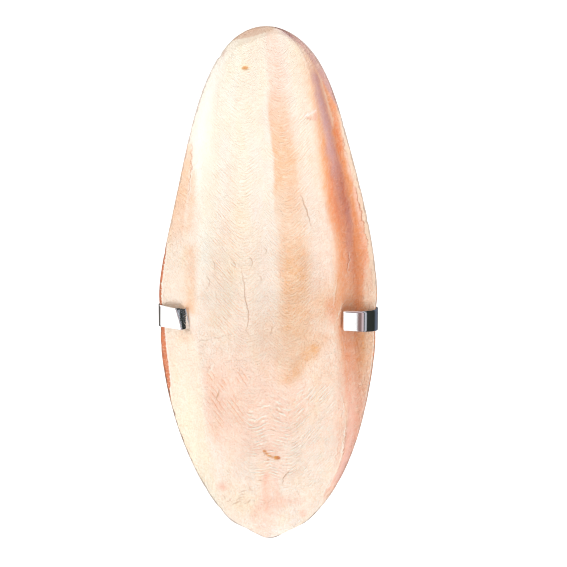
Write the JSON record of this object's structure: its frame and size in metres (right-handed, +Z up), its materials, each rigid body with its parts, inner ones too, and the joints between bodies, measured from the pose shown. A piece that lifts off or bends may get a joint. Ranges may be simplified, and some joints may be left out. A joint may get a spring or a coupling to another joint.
{
  "type": "cuttlebone in a metal holder",
  "caption": "Long oval cuttlebone, chalky and ribbed on top, gripped at both rims by a bent metal strip.",
  "frame": {"origin": "middle of the footprint, on the surface that the holder's strap and the bone's keel lie on", "axes": "+Y along the bone towards the blunt end, +X across it, +Z up out of the chalky ventral side"},
  "size_m": [0.0672, 0.16, 0.0195],
  "materials": {
    "bone": "matt, chalky, cream to peach",
    "steel": "polished nickel plate"
  },
  "bodies": {
    "root": {"cuttlebone": "bone", "holder_strip": "steel"}
  },
  "joints": []
}
